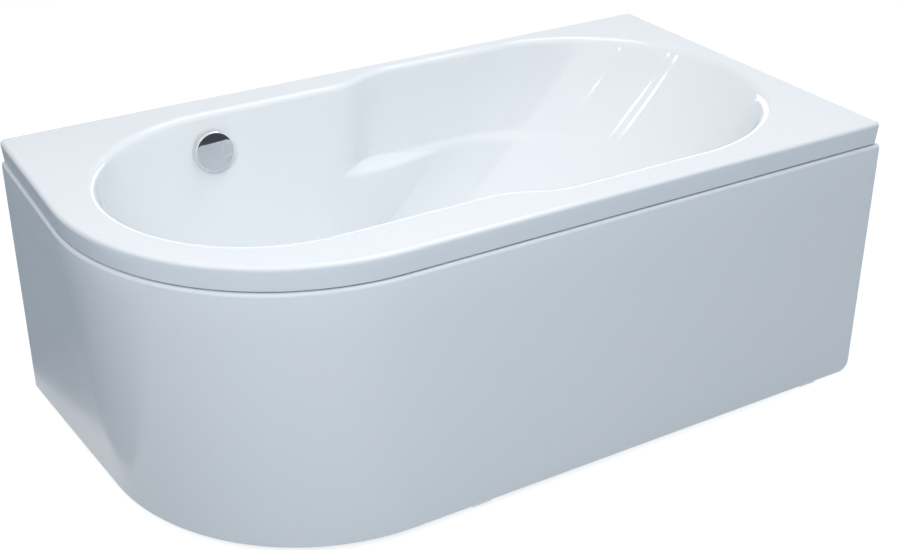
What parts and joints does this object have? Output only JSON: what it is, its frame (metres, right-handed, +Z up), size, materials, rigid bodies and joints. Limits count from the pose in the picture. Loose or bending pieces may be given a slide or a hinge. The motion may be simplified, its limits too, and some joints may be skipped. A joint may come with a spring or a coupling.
{
  "type": "acrylic bathtub",
  "caption": "Rectangular acrylic bathtub with one big rounded corner, wrap-round apron, waisted basin with armrest ledges, overflow knob that lifts the plug, and a frame on adjustable feet.",
  "frame": {"origin": "centre of the bounding box on the floor", "axes": "+X towards the head end along the length, +Y towards the wall at the back, +Z up"},
  "size_m": [1.5, 0.8, 0.58],
  "materials": {
    "acrylic_white": "polished sanitary acrylic",
    "panel_white": "gloss acrylic sheet",
    "chrome_trim": "bright chrome",
    "zinc_steel": "zinc plated",
    "frame_paint": "grey powder coat",
    "black_plastic": "moulded, fine grain",
    "seal_rubber": "matt",
    "white_plastic": "moulded polypropylene",
    "grey_hose": "soft ribbed plastic",
    "timber": "planed softwood",
    "chipboard": "raw chipboard under laminate"
  },
  "bodies": {
    "bath": {"base_board": "chipboard", "bath_shell": "acrylic_white", "crossbar_foot": "frame_paint", "crossbar_head": "frame_paint", "crossbar_middle": "frame_paint", "drain_flange": "chrome_trim", "drain_gasket": "seal_rubber", "end_bracket": "zinc_steel", "end_screw": "zinc_steel", "frame_bolts": "zinc_steel", "frame_rail_back": "frame_paint", "frame_rail_front": "frame_paint", "front_batten": "timber", "front_panel": "panel_white", "hose_nut_low": "white_plastic", "hose_nut_top": "white_plastic", "left_batten": "timber", "lock_nuts": "zinc_steel", "outlet_nut": "white_plastic", "outlet_pipe": "white_plastic", "overflow_body": "white_plastic", "overflow_gasket": "seal_rubber", "overflow_hose": "grey_hose", "overflow_rosette": "chrome_trim", "panel_brackets": "zinc_steel", "panel_clips": "zinc_steel", "post_pads": "seal_rubber", "rim_post_back_foot": "frame_paint", "rim_post_back_head": "frame_paint", "rim_post_front": "frame_paint", "rim_post_front_head": "frame_paint", "trap_body": "white_plastic", "trap_cap": "white_plastic", "trap_nut": "white_plastic", "waste_body": "white_plastic", "weld_nuts": "zinc_steel"},
    "knob": {"overflow_knob": "chrome_trim", "overflow_spindle": "zinc_steel"},
    "plug": {"drain_plug": "chrome_trim", "plug_seal": "seal_rubber", "plug_stem": "zinc_steel"},
    "foot_1": {"foot_stud_1": "zinc_steel", "foot_pad_1": "black_plastic"},
    "foot_2": {"foot_stud_2": "zinc_steel", "foot_pad_2": "black_plastic"},
    "foot_3": {"foot_stud_3": "zinc_steel", "foot_pad_3": "black_plastic"},
    "foot_4": {"foot_stud_4": "zinc_steel", "foot_pad_4": "black_plastic"},
    "foot_5": {"foot_stud_5": "zinc_steel", "foot_pad_5": "black_plastic"}
  },
  "joints": [
    {"name": "knob_turn", "type": "hinge", "parent": "bath", "child": "knob", "pos_m": [-0.355, 0.3036, 0.504], "axis": [0, -0.9848, 0.1736], "range_deg": [0, 120]},
    {"name": "plug_lift", "type": "slide", "parent": "bath", "child": "plug", "axis": [0, 0, 1], "range_m": [0, 0.01]},
    {"name": "foot_1_adjust", "type": "slide", "parent": "bath", "child": "foot_1", "axis": [0, 0, -1], "range_m": [0, 0.03]},
    {"name": "foot_2_adjust", "type": "slide", "parent": "bath", "child": "foot_2", "axis": [0, 0, -1], "range_m": [0, 0.03]},
    {"name": "foot_3_adjust", "type": "slide", "parent": "bath", "child": "foot_3", "axis": [0, 0, -1], "range_m": [0, 0.03]},
    {"name": "foot_4_adjust", "type": "slide", "parent": "bath", "child": "foot_4", "axis": [0, 0, -1], "range_m": [0, 0.03]},
    {"name": "foot_5_adjust", "type": "slide", "parent": "bath", "child": "foot_5", "axis": [0, 0, -1], "range_m": [0, 0.03]}
  ],
  "couplings": [
    {"joint": "plug_lift", "follows": "knob_turn", "m_per_rad": 0.00477}
  ]
}
